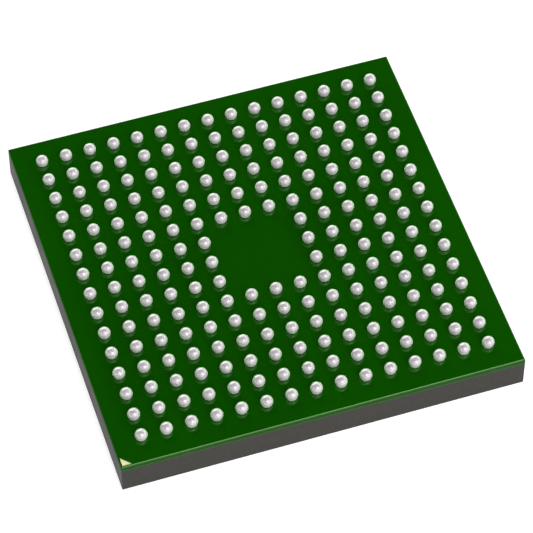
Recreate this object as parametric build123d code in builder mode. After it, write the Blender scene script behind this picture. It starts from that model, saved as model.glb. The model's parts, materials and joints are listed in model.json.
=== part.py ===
from build123d import *

import os
from math import sqrt

# A moulded ball grid array microcontroller, lying on its mould face with the balls up.
# Origin at the centre of the flat mould face, +Z towards the balls, corner A1 at -X -Y.
# All lengths are in millimetres.

# Moulded body and laminate
body_side = 13.0
mould_height = 0.98
core_thickness = 0.12
copper_thickness = 0.02
mask_cover = 0.025
copper_edge_gap = 0.15
mask_edge_break = 0.03

# Solder balls
ball_pitch = 0.80
balls_per_side = 15
open_places_per_side = 3
ball_diameter = 0.40
ball_seat_diameter = 0.33
ball_flats = 8
row_letters = "abcdefghjklmnpr"

# Corner marks
mark_leg = 0.31
mark_edge_gap = 0.06
mark_thickness = 0.025
mark_copper_gap = 0.10
dimple_diameter = 0.80
dimple_depth = 0.03
dimple_edge_gap = 1.0

# Die and its attach film
die_side = 5.2
die_thickness = 0.25
film_thickness = 0.02

# Bond wires and the fingers that they land on
wires_per_side = 10
wire_width = 0.025
wire_loop = 0.10
wire_heel = 0.04
pad_edge_gap = 0.08
pad_corner_gap = 0.53
fan_spread = 0.63
finger_distance = 0.95
finger_length = 0.40
finger_width = 0.10
window_gap = 0.10
window_copper_gap = 0.10

# Heights of the stack, from the mould face up to the ball seats
mask_thickness = copper_thickness + mask_cover
core_bottom = mould_height + mask_thickness
core_top = core_bottom + core_thickness
seat_height = core_top + mask_thickness

# Heights inside the mould, where the die hangs from the laminate
film_bottom = mould_height - film_thickness
die_face = film_bottom - die_thickness
loop_bottom = die_face - wire_loop
finger_face = core_bottom - copper_thickness

# Plan sizes that several pieces share
copper_side = body_side - 2 * copper_edge_gap
pad_reach = die_side / 2 - pad_edge_gap
finger_reach = die_side / 2 + finger_distance
pad_row = die_side - 2 * pad_corner_gap
pad_pitch = pad_row / (wires_per_side - 1)
finger_row = pad_row + 2 * fan_spread
finger_pitch = finger_row / (wires_per_side - 1)
window_length = finger_row + finger_width + 2 * window_gap
window_width = finger_length + 2 * window_gap

os.makedirs("parts", exist_ok=True)


# Laminate core: glass cloth and resin, the stiff middle of the substrate
with BuildPart() as laminate_core:
    with BuildSketch(Plane.XY.offset(core_bottom)):
        Rectangle(body_side, body_side)
    extrude(amount=core_thickness)
laminate_core.part.label = "laminate_core"
export_step(laminate_core.part, "parts/laminate_core.step")


# A1 corner mark: a gold plated copper triangle that the mask leaves bare
mark_corner = mark_edge_gap - body_side / 2
mark_tip = mark_corner + mark_leg

with BuildPart() as a1_corner_mark:
    with BuildSketch(Plane.XY.offset(core_top)):
        with BuildLine():
            Polyline(
                (mark_corner, mark_corner),
                (mark_tip, mark_corner),
                (mark_corner, mark_tip),
                close=True,
            )
        make_face()
    extrude(amount=mark_thickness)
a1_corner_mark.part.label = "a1_corner_mark"
export_step(a1_corner_mark.part, "parts/a1_corner_mark.step")


# Ball side copper: one plane, cut back from the saw line and cut off at the A1 mark
cut_off_leg = mark_leg + 2 * (mark_edge_gap + mark_copper_gap - copper_edge_gap)

with BuildPart() as ball_side_copper:
    with BuildSketch(Plane.XY.offset(core_top)) as copper_outline:
        Rectangle(copper_side, copper_side)
        a1_corner = copper_outline.vertices().sort_by(Axis.X)[:2].sort_by(Axis.Y)[0]
        chamfer(a1_corner, length=cut_off_leg)
    extrude(amount=copper_thickness)
ball_side_copper.part.label = "ball_side_copper"
export_step(ball_side_copper.part, "parts/ball_side_copper.step")


# Ball side solder mask: it wraps the copper's edges and opens over the A1 mark
with BuildPart() as ball_side_solder_mask:
    with BuildSketch(Plane.XY.offset(core_top)):
        Rectangle(body_side, body_side)
    extrude(amount=mask_thickness)
    rim = ball_side_solder_mask.faces().sort_by(Axis.Z)[-1].edges()
    chamfer(rim, length=mask_edge_break)
    add(ball_side_copper.part, mode=Mode.SUBTRACT)
    with BuildSketch(Plane.XY.offset(core_top)):
        add(a1_corner_mark.faces().sort_by(Axis.Z)[-1])
    extrude(amount=mask_thickness, mode=Mode.SUBTRACT)
ball_side_solder_mask.part.label = "ball_side_solder_mask"
export_step(ball_side_solder_mask.part, "parts/ball_side_solder_mask.step")


# Die side copper: a plane with a clear strip around each row of bond fingers
with BuildPart() as die_side_copper:
    with BuildSketch(Plane.XY.offset(finger_face)):
        Rectangle(copper_side, copper_side)
        with PolarLocations(finger_reach, 4):
            Rectangle(
                window_width + 2 * window_copper_gap,
                window_length + 2 * window_copper_gap,
                mode=Mode.SUBTRACT,
            )
    extrude(amount=copper_thickness)
die_side_copper.part.label = "die_side_copper"
export_step(die_side_copper.part, "parts/die_side_copper.step")


# Die side solder mask: it wraps the copper and has a window over each row of fingers
with BuildPart() as die_side_solder_mask:
    with BuildSketch(Plane.XY.offset(mould_height)):
        Rectangle(body_side, body_side)
        with PolarLocations(finger_reach, 4):
            Rectangle(window_width, window_length, mode=Mode.SUBTRACT)
    extrude(amount=mask_thickness)
    add(die_side_copper.part, mode=Mode.SUBTRACT)
die_side_solder_mask.part.label = "die_side_solder_mask"
export_step(die_side_solder_mask.part, "parts/die_side_solder_mask.step")


# Bond fingers: a row of bare copper strips in each window
with BuildPart() as bond_fingers:
    with BuildSketch(Plane.XY.offset(finger_face)):
        with PolarLocations(finger_reach, 4):
            with GridLocations(0, finger_pitch, 1, wires_per_side):
                Rectangle(finger_length, finger_width)
    extrude(amount=copper_thickness)
bond_fingers.part.label = "bond_fingers"
export_step(bond_fingers.part, "parts/bond_fingers.step")


# Die attach film: it holds the die to the laminate
with BuildPart() as die_attach_film:
    with BuildSketch(Plane.XY.offset(film_bottom)):
        Rectangle(die_side, die_side)
    extrude(amount=film_thickness)
die_attach_film.part.label = "die_attach_film"
export_step(die_attach_film.part, "parts/die_attach_film.step")


# Die: the silicon chip, with its bonded face towards the mould face
with BuildPart() as die:
    with BuildSketch(Plane.XY.offset(die_face)):
        Rectangle(die_side, die_side)
    extrude(amount=die_thickness)
die.part.label = "die"
export_step(die.part, "parts/die.step")


# Bond wires: each leaves the die square, slopes out in a fan and lands on its finger
def bond_wire(place):
    """The wire at this place in its row, counted from the middle, for the side at +X."""
    pad = Vector(pad_reach, place * pad_pitch, die_face)
    finger = Vector(finger_reach, place * finger_pitch, finger_face)
    bend = Vector(pad.X, pad.Y, loop_bottom)
    heel = Vector(finger.X, finger.Y, finger_face - wire_heel)
    fan = Vector(finger.X - pad.X, finger.Y - pad.Y, 0)
    with BuildPart() as wire:
        with BuildLine():
            Polyline(pad, bend, heel, finger)
        with BuildSketch(Plane(origin=pad, x_dir=fan, z_dir=(0, 0, -1))):
            Rectangle(wire_width, wire_width)
        sweep(transition=Transition.RIGHT)
    return wire.part


wire_places = [index - (wires_per_side - 1) / 2 for index in range(wires_per_side)]
row_of_wires = [bond_wire(place) for place in wire_places]
bond_wire_rows = []

for side, turn in {"right": 0, "far": 90, "left": 180, "near": 270}.items():
    with BuildPart() as bond_wires:
        with Locations(Location((0, 0, 0), (0, 0, turn))):
            add(row_of_wires)
    bond_wires.part.label = f"bond_wires_{side}"
    export_step(bond_wires.part, f"parts/bond_wires_{side}.step")
    bond_wire_rows.append(bond_wires.part)


# Mould cap: it fills the windows and closes round the die, the film and the wires
with BuildPart() as mould_cap:
    with BuildSketch():
        Rectangle(body_side, body_side)
    extrude(amount=mould_height)
    with BuildSketch(Plane.XY.offset(mould_height)):
        with PolarLocations(finger_reach, 4):
            Rectangle(window_width, window_length)
    extrude(amount=mask_thickness)
    dimple_place = dimple_edge_gap - body_side / 2
    with BuildSketch():
        with Locations((dimple_place, dimple_place)):
            Circle(dimple_diameter / 2)
    extrude(amount=dimple_depth, mode=Mode.SUBTRACT)
    add([die.part, die_attach_film.part, bond_fingers.part], mode=Mode.SUBTRACT)
    add(bond_wire_rows, mode=Mode.SUBTRACT)
mould_cap.part.label = "mould_cap"
export_step(mould_cap.part, "parts/mould_cap.step")


# Solder ball: the side view of a ball on its seat, crossed with itself at even turns
ball_radius = ball_diameter / 2
ball_seat_radius = ball_seat_diameter / 2
ball_centre = sqrt(ball_radius**2 - ball_seat_radius**2)
shoulder = ball_radius / sqrt(2)

with BuildPart() as solder_ball:
    for index in range(ball_flats // 2):
        across = Vector(1, 0, 0).rotate(Axis.Z, index * 360 / ball_flats)
        ball_seat = Vector(0, 0, seat_height)
        with BuildSketch(Plane(ball_seat, x_dir=across, z_dir=across.cross(Vector(0, 0, 1)))):
            with BuildLine():
                half_outline = Polyline(
                    (0, 0),
                    (ball_seat_radius, 0),
                    (ball_radius, ball_centre),
                    (shoulder, ball_centre + shoulder),
                    (0, ball_centre + ball_radius),
                )
                mirror(half_outline, about=Plane.YZ)
            make_face()
        extrude(amount=ball_diameter, both=True, mode=Mode.INTERSECT if index else Mode.ADD)


# Rows of solder balls, lettered from A1, with the middle of the grid left open
first_open = (balls_per_side - open_places_per_side) // 2
open_places = range(first_open, first_open + open_places_per_side)
grid_start = -(balls_per_side - 1) * ball_pitch / 2

for row, letter in enumerate(row_letters[:balls_per_side]):
    columns = [
        column
        for column in range(balls_per_side)
        if not (row in open_places and column in open_places)
    ]
    row_y = grid_start + row * ball_pitch
    with BuildPart() as ball_row:
        with Locations([(grid_start + column * ball_pitch, row_y) for column in columns]):
            add(solder_ball.part)
    ball_row.part.label = f"solder_balls_row_{letter}"
    export_step(ball_row.part, f"parts/solder_balls_row_{letter}.step")
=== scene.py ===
"""Looks for the ball grid array microcontroller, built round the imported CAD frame, in metres.

The package lies on its mould face with the solder balls up and corner A1 at -X -Y.
"""

import json
import math

import bpy
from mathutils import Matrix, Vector


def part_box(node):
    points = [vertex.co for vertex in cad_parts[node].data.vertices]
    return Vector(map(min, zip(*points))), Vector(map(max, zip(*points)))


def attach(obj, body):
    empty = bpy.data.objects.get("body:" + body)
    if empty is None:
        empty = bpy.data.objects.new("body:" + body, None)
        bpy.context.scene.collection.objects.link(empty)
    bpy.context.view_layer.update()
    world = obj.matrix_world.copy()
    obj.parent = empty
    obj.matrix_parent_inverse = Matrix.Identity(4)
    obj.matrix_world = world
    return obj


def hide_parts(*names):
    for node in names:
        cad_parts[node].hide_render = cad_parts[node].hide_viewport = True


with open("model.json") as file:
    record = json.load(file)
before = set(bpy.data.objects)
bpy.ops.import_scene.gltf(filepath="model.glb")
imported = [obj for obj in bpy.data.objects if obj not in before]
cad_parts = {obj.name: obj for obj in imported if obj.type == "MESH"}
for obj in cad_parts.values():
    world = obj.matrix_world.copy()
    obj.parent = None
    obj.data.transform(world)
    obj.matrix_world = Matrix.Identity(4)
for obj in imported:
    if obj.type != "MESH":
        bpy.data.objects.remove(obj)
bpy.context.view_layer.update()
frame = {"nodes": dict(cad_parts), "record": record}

MM = 0.001
MICRON = 0.000001

# Distance within which edit tools take two places as one
SAME_PLACE = 0.01 * MICRON

# Solder balls
BALL_RADIUS = 0.20 * MM
BALL_PITCH = 0.80 * MM
PLACES_PER_SIDE = 15
OPEN_PLACES = 3
ROW_LETTERS = "abcdefghjklmnpr"
BALL_SEGMENTS = 12
BALL_RINGS = 6
BALL_SMOOTH_ANGLE = math.radians(50)

# Makes up for the flat sides of so coarse a ball, which lie inside the true one
BALL_SWELL = 1.010

# Solder mask on the ball side
MASK_RIM_WIDTH = 0.03 * MM
MASK_RIM_ROUNDING = 0.005 * MM
MASK_CORNER_LENGTH = 0.05 * MM
MASK_SMOOTH_ANGLE = math.radians(40)
OPENING_TOOL_STRETCH = 6

# Least upright share of a normal for its face to count as level
LEVEL_FACE = 0.9

# Colours of the moulding compound
MOULD_DARK = (0.038, 0.036, 0.0315)
MOULD_PALE = (0.044, 0.042, 0.0375)
MOULD_GRAIN = (0.10, 0.098, 0.091)

# Colours of the solder mask
MASK_DEEP = (0.0039, 0.075, 0.0001)
MASK_LIGHT = (0.0045, 0.084, 0.0002)
MASK_GLOSS_TINT = (0.65, 1.0, 0.55)

# Colours of the laminate
RESIN = (0.021, 0.074, 0.012)
YARN = (0.029, 0.084, 0.020)

# Colours of the solder
SOLDER_GREY = (0.715, 0.65, 0.705)
SOLDER_PALE = (0.735, 0.67, 0.715)
# The green in these two tints is a painted reflection of the green mask on the balls' rims
SOLDER_GLOSS_GREEN_REFLECTION_TINT = (0.50, 1.0, 0.45)
SOLDER_SHEEN_GREEN_REFLECTION_TINT = (0.65, 1.0, 0.60)

# Places of the sockets of a Mix node that mixes colours
MIX_FACTOR = 0
MIX_LOW = 6
MIX_HIGH = 7
MIX_RESULT = 2

# Floor: its side, its colour, and the lift that makes it white to the camera and in mirrors
FLOOR_SIDE = 1.2
FLOOR_COLOUR = (0.8, 0.8, 0.8)
FLOOR_LIFT = 0.6

# Soft boxes: azimuth of the middle from +X towards +Y and elevation, in degrees, and brightness
SOFT_BOXES = {
    "behind": (95, 8, 3.2),
    "right_behind": (45, 8, 1.0),
    "right": (0, 8, 0.95),
    "front_right": (-45, 8, 0.8),
    "front": (-90, 38, 1.1),
    "left": (190, 8, 0.65),
}

# How far from its middle a soft box is full, and how far it reaches
BOX_FULL = math.radians(18)
BOX_EDGE = math.radians(42)

# Camera, as it stood for the photograph, with its aim given by a unit vector
CAMERA_PLACE = Vector((-18.552, -57.876, 80.938)) * MM
CAMERA_AIM = Vector((0.185737, 0.573090, -0.798166))
PHOTO_SIDE = 533
PHOTO_FOCAL_LENGTH = 3168.4
SENSOR_WIDTH = 36.0
NEAREST_SEEN = 1 * MM
FARTHEST_SEEN = 10.0


# Work on meshes


def select_only(piece):
    bpy.ops.object.select_all(action="DESELECT")
    bpy.context.view_layer.objects.active = piece
    piece.select_set(True)


def start_edit(piece):
    """Make this the only selected object, with none of its mesh selected."""
    select_only(piece)
    bpy.ops.object.mode_set(mode="EDIT")
    bpy.ops.mesh.select_all(action="DESELECT")
    bpy.ops.object.mode_set(mode="OBJECT")


def edit_mode(kind):
    bpy.ops.object.mode_set(mode="EDIT")
    bpy.ops.mesh.select_mode(type=kind)


def object_mode():
    bpy.ops.object.mode_set(mode="OBJECT")


def select_faces(piece, wanted):
    for face in piece.data.polygons:
        face.select = wanted(face)


def merge_doubles(piece):
    start_edit(piece)
    edit_mode("VERT")
    bpy.ops.mesh.select_all(action="SELECT")
    bpy.ops.mesh.remove_doubles(threshold=SAME_PLACE)
    object_mode()


def place_in_mesh(piece):
    """Put the object's place and size into its mesh, so that the object sits at the origin."""
    select_only(piece)
    bpy.ops.object.transform_apply(location=True, rotation=True, scale=True)


def apply_modifiers(piece):
    select_only(piece)
    for modifier in list(piece.modifiers):
        bpy.ops.object.modifier_apply(modifier=modifier.name)


def copy_of(item):
    """A copy with its own mesh, which hangs on nothing."""
    copy = item.copy()
    copy.data = item.data.copy()
    copy.parent = None
    bpy.context.scene.collection.objects.link(copy)
    return copy


# Node groups that several materials share


def add_node(tree, kind, **settings):
    node = tree.nodes.new(kind)
    for name, value in settings.items():
        setattr(node, name, value)
    return node


def new_group(name, numbers):
    """An empty group that takes these numbers and gives one mask."""
    group = bpy.data.node_groups.new(name, "ShaderNodeTree")
    for number in numbers:
        group.interface.new_socket(number, in_out="INPUT", socket_type="NodeSocketFloat")
    group.interface.new_socket("Mask", in_out="OUTPUT", socket_type="NodeSocketFloat")
    return group


def mottle_group():
    """Soft patches: a mask that drifts from 0 to 1 over the surface."""
    group = new_group("mottle", ("Scale", "Detail", "Low", "High"))
    inputs = add_node(group, "NodeGroupInput")
    outputs = add_node(group, "NodeGroupOutput")
    place = add_node(group, "ShaderNodeTexCoord")
    noise = add_node(group, "ShaderNodeTexNoise")
    spread = add_node(group, "ShaderNodeMapRange", interpolation_type="SMOOTHSTEP")
    link = group.links.new
    link(place.outputs["Object"], noise.inputs["Vector"])
    link(inputs.outputs["Scale"], noise.inputs["Scale"])
    link(inputs.outputs["Detail"], noise.inputs["Detail"])
    link(noise.outputs["Fac"], spread.inputs["Value"])
    link(inputs.outputs["Low"], spread.inputs["From Min"])
    link(inputs.outputs["High"], spread.inputs["From Max"])
    link(spread.outputs["Result"], outputs.inputs["Mask"])
    return group


def speckle_group():
    """Small separate grains: a mask that is 1 in each grain's middle and 0 between grains."""
    group = new_group("speckle", ("Scale", "Size"))
    inputs = add_node(group, "NodeGroupInput")
    outputs = add_node(group, "NodeGroupOutput")
    place = add_node(group, "ShaderNodeTexCoord")
    cells = add_node(group, "ShaderNodeTexVoronoi")
    spread = add_node(group, "ShaderNodeMapRange", interpolation_type="SMOOTHSTEP")
    spread.inputs["From Max"].default_value = 0.0
    link = group.links.new
    link(place.outputs["Object"], cells.inputs["Vector"])
    link(inputs.outputs["Scale"], cells.inputs["Scale"])
    link(cells.outputs["Distance"], spread.inputs["Value"])
    link(inputs.outputs["Size"], spread.inputs["From Min"])
    link(spread.outputs["Result"], outputs.inputs["Mask"])
    return group


GROUPS = {"mottle": mottle_group(), "speckle": speckle_group()}


class Finish:
    """One material: a Principled BSDF and the nodes that feed it."""

    def __init__(self, name, **plain):
        self.material = bpy.data.materials.new(name)
        self.material.use_nodes = True
        self.tree = self.material.node_tree
        self.shader = self.tree.nodes["Principled BSDF"]
        self.link = self.tree.links.new
        for word, value in plain.items():
            self.shader_socket(word).default_value = value

    def shader_socket(self, word):
        """The shader's socket that this word stands for, as base_color stands for Base Color."""
        return self.shader.inputs[word.replace("_", " ").title().replace("Ior", "IOR")]

    def tint(self, **colours):
        """Colours that are the same all over, on the shader's own sockets."""
        for word, colour in colours.items():
            self.set_colour(self.shader_socket(word), colour)

    def set_colour(self, socket, value):
        if isinstance(value, bpy.types.NodeSocket):
            self.link(value, socket)
        else:
            socket.default_value = (*value, 1.0)

    def mask(self, name, **numbers):
        """The mask that a shared group makes from these numbers."""
        node = add_node(self.tree, "ShaderNodeGroup", node_tree=GROUPS[name])
        for word, number in numbers.items():
            node.inputs[word.title()].default_value = number
        return node.outputs["Mask"]

    def mix(self, mask, low, high):
        """A colour between low and high, which are colours or other nodes' colour outputs."""
        node = add_node(self.tree, "ShaderNodeMix", data_type="RGBA")
        self.link(mask, node.inputs[MIX_FACTOR])
        self.set_colour(node.inputs[MIX_LOW], low)
        self.set_colour(node.inputs[MIX_HIGH], high)
        return node.outputs[MIX_RESULT]

    def range(self, value, low, high, start=0.0, end=1.0):
        """A number that goes from low to high as the value goes from start to end."""
        node = add_node(self.tree, "ShaderNodeMapRange")
        node.inputs["From Min"].default_value = start
        node.inputs["From Max"].default_value = end
        node.inputs["To Min"].default_value = low
        node.inputs["To Max"].default_value = high
        self.link(value, node.inputs["Value"])
        return node.outputs["Result"]

    def around(self, mask, middle, spread):
        """A number that goes with the mask from one spread under the middle to one spread over it."""
        return self.range(mask, middle - spread, middle + spread)

    def upward(self):
        """How far the surface faces up: 1 on a level top, 0 on an upright side."""
        surface = add_node(self.tree, "ShaderNodeTexCoord")
        parts = add_node(self.tree, "ShaderNodeSeparateXYZ")
        self.link(surface.outputs["Normal"], parts.inputs["Vector"])
        return parts.outputs["Z"]

    def bump(self, height, depth):
        node = add_node(self.tree, "ShaderNodeBump")
        node.inputs["Distance"].default_value = depth
        node.inputs["Strength"].default_value = 1.0
        self.link(height, node.inputs["Height"])
        return node.outputs["Normal"]

    def feed(self, **sources):
        """The material, with these outputs linked to its shader's sockets."""
        for word, source in sources.items():
            self.link(source, self.shader_socket(word))
        return self.material


# Materials


def mould_compound():
    """Dark grey filled epoxy: pale and dark patches, fine filler grains and a dull, slightly rough skin."""
    finish = Finish("dark_filled_epoxy", specular_ior_level=0.12)
    patches = finish.mask("mottle", scale=900.0, detail=3.0, low=0.3, high=0.7)
    grains = finish.mask("speckle", scale=14000.0, size=0.42)
    colour = finish.mix(patches, MOULD_DARK, MOULD_PALE)
    colour = finish.mix(finish.range(grains, low=0.0, high=0.35), colour, MOULD_GRAIN)
    rough = finish.around(patches, middle=0.5, spread=0.04)
    relief = finish.bump(grains, depth=2.0 * MICRON)
    return finish.feed(base_color=colour, roughness=rough, normal=relief)


def solder_mask():
    """Deep green lacquer with a slight orange peel: glossy on its face, dull where the saw cut it."""
    finish = Finish("green_lacquer", specular_ior_level=0.8)
    finish.tint(specular_tint=MASK_GLOSS_TINT)
    drift = finish.mask("mottle", scale=260.0, detail=2.0, low=0.25, high=0.75)
    peel = finish.mask("mottle", scale=5200.0, detail=1.0, low=0.2, high=0.8)
    colour = finish.mix(drift, MASK_DEEP, MASK_LIGHT)
    rough = finish.range(finish.upward(), low=0.8, high=0.05, start=0.2, end=0.6)
    relief = finish.bump(peel, depth=0.5 * MICRON)
    return finish.feed(base_color=colour, roughness=rough, normal=relief)


def laminate():
    """Sawn glass cloth and resin: greenish resin with paler yarn ends along the edge."""
    finish = Finish("sawn_glass_cloth", specular_ior_level=0.03)
    yarns = finish.mask("mottle", scale=3800.0, detail=3.0, low=0.4, high=0.68)
    colour = finish.mix(yarns, RESIN, YARN)
    rough = finish.range(yarns, low=0.62, high=0.75)
    relief = finish.bump(yarns, depth=1.5 * MICRON)
    return finish.feed(base_color=colour, roughness=rough, normal=relief)


def solder():
    """Reflowed tin alloy: pale silver, softly bright, with a frosty grain, and a green tint on its gloss
    and sheen that is a painted reflection of the green mask on the balls' rims.
    """
    finish = Finish("reflowed_tin", metallic=0.30, sheen_weight=1.0, sheen_roughness=0.5)
    finish.tint(sheen_tint=SOLDER_SHEEN_GREEN_REFLECTION_TINT, specular_tint=SOLDER_GLOSS_GREEN_REFLECTION_TINT)
    frost = finish.mask("mottle", scale=40000.0, detail=2.0, low=0.3, high=0.7)
    tone = finish.mask("mottle", scale=1300.0, detail=1.0, low=0.35, high=0.65)
    colour = finish.mix(tone, SOLDER_GREY, SOLDER_PALE)
    rough = finish.around(frost, middle=0.20, spread=0.04)
    relief = finish.bump(frost, depth=0.15 * MICRON)
    return finish.feed(base_color=colour, roughness=rough, normal=relief)


def grained(name, dark, light, roughness, metallic, scale):
    """A plain finish with a faint grain between two tones."""
    finish = Finish(name, metallic=metallic)
    grain = finish.mask("mottle", scale=scale, detail=3.0, low=0.3, high=0.7)
    colour = finish.mix(grain, dark, light)
    rough = finish.around(grain, middle=roughness, spread=0.05)
    relief = finish.bump(grain, depth=0.8 * MICRON)
    return finish.feed(base_color=colour, roughness=rough, normal=relief)


def metal(name, dark, light, roughness, metallic=1.0):
    return grained(name, dark, light, roughness, metallic, scale=4000.0)


def dull(name, dark, light, roughness):
    return grained(name, dark, light, roughness, metallic=0.0, scale=3000.0)


def gold_plating():
    """Gold plate that the photograph shows pale and matt, with hardly any mirror in it."""
    return metal("pale_gold", (0.97, 0.93, 0.50), (1.0, 0.97, 0.60), roughness=0.60, metallic=0.05)


def bond_wire_gold():
    return metal("drawn_gold", (0.82, 0.58, 0.22), (0.90, 0.68, 0.30), roughness=0.25)


def copper():
    return metal("etched_copper", (0.70, 0.30, 0.17), (0.80, 0.38, 0.24), roughness=0.35)


def silicon():
    return dull("ground_silicon", (0.19, 0.20, 0.24), (0.23, 0.24, 0.29), roughness=0.18)


def attach_film():
    return dull("cream_film", (0.55, 0.53, 0.48), (0.63, 0.61, 0.56), roughness=0.6)


MATERIALS = {
    "mould_compound": mould_compound(),
    "solder_mask": solder_mask(),
    "laminate": laminate(),
    "solder": solder(),
    "gold_plating": gold_plating(),
    "bond_wire_gold": bond_wire_gold(),
    "copper": copper(),
    "silicon": silicon(),
    "attach_film": attach_film(),
}


def give(piece, slot):
    """The finish of this material slot, on every face of the piece."""
    piece.data.materials.clear()
    piece.data.materials.append(MATERIALS[slot])


# Solder balls


def solder_ball(centre, seat_height):
    """A ball cut flat where it sits on the mask, and a little swollen round its middle."""
    bpy.ops.mesh.primitive_uv_sphere_add(
        segments=BALL_SEGMENTS, ring_count=BALL_RINGS, radius=BALL_RADIUS, location=centre
    )
    ball = bpy.context.object
    place_in_mesh(ball)
    start_edit(ball)
    edit_mode("FACE")
    bpy.ops.mesh.select_all(action="SELECT")
    bpy.ops.mesh.bisect(
        plane_co=(centre.x, centre.y, seat_height),
        plane_no=(0, 0, 1),
        clear_inner=True,
        use_fill=True,
        threshold=SAME_PLACE,
    )
    bpy.ops.mesh.select_all(action="SELECT")
    bpy.ops.transform.resize(value=(BALL_SWELL, BALL_SWELL, 1.0), center_override=centre)
    object_mode()
    bpy.ops.object.shade_smooth_by_angle(angle=BALL_SMOOTH_ANGLE)
    return ball


def repeat(piece, count, step):
    array = piece.modifiers.new("repeat", "ARRAY")
    array.count = count
    array.use_relative_offset = False
    array.use_constant_offset = True
    array.constant_offset_displace = (step, 0, 0)


def fill_row(row, letter):
    """Repeat the row's first ball to its end, with the middle places of the middle rows left open."""
    before_open = (PLACES_PER_SIDE - OPEN_PLACES) // 2
    after_open = before_open + OPEN_PLACES
    if before_open <= ROW_LETTERS.index(letter) < after_open:
        repeat(row, before_open, BALL_PITCH)
        repeat(row, 2, after_open * BALL_PITCH)
    else:
        repeat(row, PLACES_PER_SIDE, BALL_PITCH)
    apply_modifiers(row)


def ball_row(letter, first_ball, first_centre):
    """A row of balls in the place of its CAD node."""
    node = f"solder_balls_row_{letter}"
    low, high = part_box(node)
    row = copy_of(first_ball)
    row.name = f"round_balls_row_{letter}"
    row.location.y = (low.y + high.y) / 2 - first_centre.y
    place_in_mesh(row)
    fill_row(row, letter)
    give(row, "solder")
    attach(row, "root")
    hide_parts(node)


def ball_grid():
    """All the rows, each grown from its own copy of the ball at A1."""
    low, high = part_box("solder_balls_row_a")
    centre = Vector((low.x + BALL_RADIUS, (low.y + high.y) / 2, high.z - BALL_RADIUS))
    first = solder_ball(centre, seat_height=low.z)
    for letter in ROW_LETTERS:
        ball_row(letter, first, centre)
    bpy.data.objects.remove(first)


# Solder mask on the ball side


def chamfer_rim(sheet):
    """A chamfer round the top face, with its edges slightly rounded."""
    start_edit(sheet)
    select_faces(sheet, lambda face: face.normal.z > LEVEL_FACE)
    edit_mode("FACE")
    bpy.ops.mesh.select_mode(type="EDGE")
    bpy.ops.mesh.bevel(offset=MASK_RIM_WIDTH, segments=1)
    bpy.ops.mesh.bevel(offset=MASK_RIM_ROUNDING, segments=2)
    object_mode()


def recess_for_copper(sheet, margin, depth):
    """A hollow in the underside, which leaves a margin of full thickness round the copper."""
    start_edit(sheet)
    select_faces(sheet, lambda face: face.normal.z < -LEVEL_FACE)
    edit_mode("FACE")
    bpy.ops.mesh.inset(thickness=margin, depth=0)
    bpy.ops.mesh.extrude_region_move(TRANSFORM_OT_translate={"value": (0, 0, depth)})
    object_mode()


def cut_beside_corners(sheet, low, high):
    """Cuts near each corner, so that the rim's shading turns only there and not all along it."""
    start_edit(sheet)
    edit_mode("FACE")
    for axis in (0, 1):
        across = Vector((0, 0, 0))
        across[axis] = 1
        for side in (low[axis] + MASK_CORNER_LENGTH, high[axis] - MASK_CORNER_LENGTH):
            bpy.ops.mesh.select_all(action="SELECT")
            bpy.ops.mesh.bisect(plane_co=across * side, plane_no=across, threshold=SAME_PLACE)
    object_mode()


def opening_tool():
    """A tool as wide as the gold corner mark and taller than the mask, to cut the opening over the mark."""
    low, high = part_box("a1_corner_mark")
    tool = copy_of(frame["nodes"]["a1_corner_mark"])
    merge_doubles(tool)
    start_edit(tool)
    edit_mode("VERT")
    bpy.ops.mesh.select_all(action="SELECT")
    bpy.ops.transform.resize(value=(1, 1, OPENING_TOOL_STRETCH), center_override=(low + high) / 2)
    object_mode()
    return tool


def cut_opening(sheet):
    tool = opening_tool()
    opening = sheet.modifiers.new("opening", "BOOLEAN")
    opening.operation = "DIFFERENCE"
    opening.object = tool
    opening.solver = "EXACT"
    apply_modifiers(sheet)
    bpy.data.objects.remove(tool)
    merge_doubles(sheet)


def smooth_rim(sheet):
    """Smooth shading over the rim, with the flat faces left flat."""
    select_only(sheet)
    bpy.ops.object.shade_smooth_by_angle(angle=MASK_SMOOTH_ANGLE)
    sheet.modifiers.new("flat_faces", "WEIGHTED_NORMAL").keep_sharp = True
    apply_modifiers(sheet)


def mask_sheet():
    """The ball side mask: chamfered rim, a recess for the copper beneath, and the A1 opening."""
    low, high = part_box("ball_side_solder_mask")
    copper_low, copper_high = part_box("ball_side_copper")
    bpy.ops.mesh.primitive_cube_add(size=1, location=(low + high) / 2, scale=high - low)
    sheet = bpy.context.object
    sheet.name = "glossy_green_mask"
    place_in_mesh(sheet)
    chamfer_rim(sheet)
    recess_for_copper(sheet, margin=copper_low.x - low.x, depth=copper_high.z - copper_low.z)
    cut_beside_corners(sheet, low, high)
    cut_opening(sheet)
    smooth_rim(sheet)
    give(sheet, "solder_mask")
    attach(sheet, "root")
    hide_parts("ball_side_solder_mask")


def dress_cad_nodes():
    """A finish on each CAD node that no new piece stands for."""
    for entry in frame["record"]["subparts"]:
        node = frame["nodes"][entry["node"]]
        if not node.hide_render:
            give(node, entry["material_slot"])


# Floor, studio, lamps and camera


def either(finish, first, second):
    """1 where either of two ray tests is 1."""
    node = add_node(finish.tree, "ShaderNodeMath", operation="MAXIMUM")
    finish.link(first, node.inputs[0])
    finish.link(second, node.inputs[1])
    return node.outputs["Value"]


def floor_material():
    """Matt white, with a lift that the camera and mirrors see, so that it reads as white paper."""
    finish = Finish("white_floor", roughness=0.9, specular_ior_level=0.0)
    finish.tint(base_color=FLOOR_COLOUR, emission_color=(1, 1, 1))
    path = add_node(finish.tree, "ShaderNodeLightPath")
    seen = either(finish, path.outputs["Is Camera Ray"], path.outputs["Is Glossy Ray"])
    seen = either(finish, seen, path.outputs["Is Transmission Ray"])
    return finish.feed(emission_strength=finish.range(seen, low=0.0, high=FLOOR_LIFT))


def make_floor():
    bpy.ops.mesh.primitive_plane_add(size=FLOOR_SIDE, location=(0, 0, 0))
    floor = bpy.context.object
    floor.name = "floor"
    floor.data.materials.append(floor_material())


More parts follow.
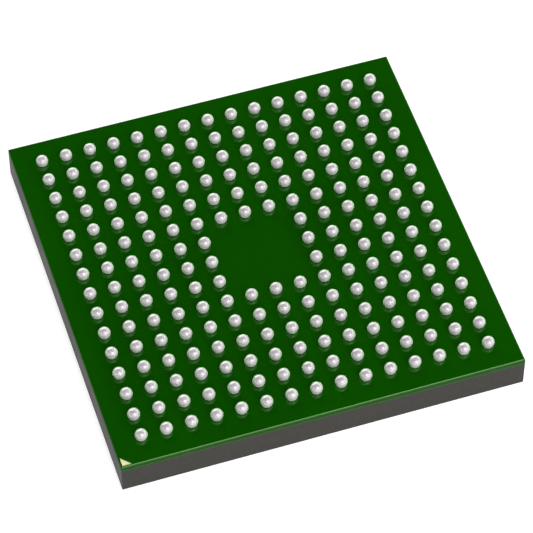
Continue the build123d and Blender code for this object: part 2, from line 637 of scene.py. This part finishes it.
def towards(azimuth, elevation):
    """The unit vector that points this way from the object, from angles in degrees."""
    across, up = math.radians(azimuth), math.radians(elevation)
    return Vector((math.cos(across) * math.cos(up), math.sin(across) * math.cos(up), math.sin(up)))


def soft_box(tree, place, azimuth, elevation, level):
    """A soft spot on the dome: full out to one angle from its middle, gone at another."""
    facing = add_node(tree, "ShaderNodeVectorMath", operation="DOT_PRODUCT")
    facing.inputs[1].default_value = towards(azimuth, elevation)
    tree.links.new(place.outputs["Generated"], facing.inputs[0])
    fade = add_node(tree, "ShaderNodeMapRange", interpolation_type="SMOOTHSTEP")
    fade.inputs["From Min"].default_value = math.cos(BOX_EDGE)
    fade.inputs["From Max"].default_value = math.cos(BOX_FULL)
    fade.inputs["To Max"].default_value = level
    tree.links.new(facing.outputs["Value"], fade.inputs["Value"])
    return fade.outputs["Result"]


def added(tree, first, second):
    both = add_node(tree, "ShaderNodeMath", operation="ADD")
    tree.links.new(first, both.inputs[0])
    tree.links.new(second, both.inputs[1])
    return both.outputs["Value"]


def make_studio():
    """A dark studio with soft boxes round the horizon and one in front, higher up."""
    world = bpy.data.worlds.new("studio")
    bpy.context.scene.world = world
    world.use_nodes = True
    tree = world.node_tree
    background = tree.nodes["Background"]
    background.inputs["Color"].default_value = (1, 1, 1, 1)
    place = add_node(tree, "ShaderNodeTexCoord")
    total = None
    for spot in SOFT_BOXES.values():
        box = soft_box(tree, place, *spot)
        total = box if total is None else added(tree, total, box)
    tree.links.new(total, background.inputs["Strength"])


def area_light(name, direction, distance, width, level, seen_in_gloss=True):
    """A round lamp that would light a white face turned to it to this level, seen from the object."""
    lamp = bpy.data.lights.new(name, "AREA")
    lamp.shape = "DISK"
    lamp.size = width
    lamp.energy = level * math.pi**2 * distance**2
    item = bpy.data.objects.new(name, lamp)
    bpy.context.scene.collection.objects.link(item)
    item.location = direction * distance
    item.rotation_mode = "QUATERNION"
    item.rotation_quaternion = direction.to_track_quat("Z", "Y")
    item.visible_glossy = seen_in_gloss


def make_camera():
    data = bpy.data.cameras.new("camera")
    data.sensor_width = SENSOR_WIDTH
    data.lens = SENSOR_WIDTH * PHOTO_FOCAL_LENGTH / PHOTO_SIDE
    data.clip_start = NEAREST_SEEN
    data.clip_end = FARTHEST_SEEN
    camera = bpy.data.objects.new("camera", data)
    bpy.context.scene.collection.objects.link(camera)
    camera.location = CAMERA_PLACE
    camera.rotation_mode = "QUATERNION"
    camera.rotation_quaternion = CAMERA_AIM.to_track_quat("-Z", "Y")
    bpy.context.scene.camera = camera


make_camera()
ball_grid()
mask_sheet()
dress_cad_nodes()

make_floor()
make_studio()
area_light("front_key", towards(-75, 44), distance=0.6, width=0.24, level=0.16)
area_light("overhead", towards(0, 90), distance=1.0, width=0.40, level=0.22, seen_in_gloss=False)
area_light("front_fill", towards(-68, 6), distance=0.8, width=0.40, level=0.48, seen_in_gloss=False)
bpy.context.scene.view_settings.view_transform = "Standard"
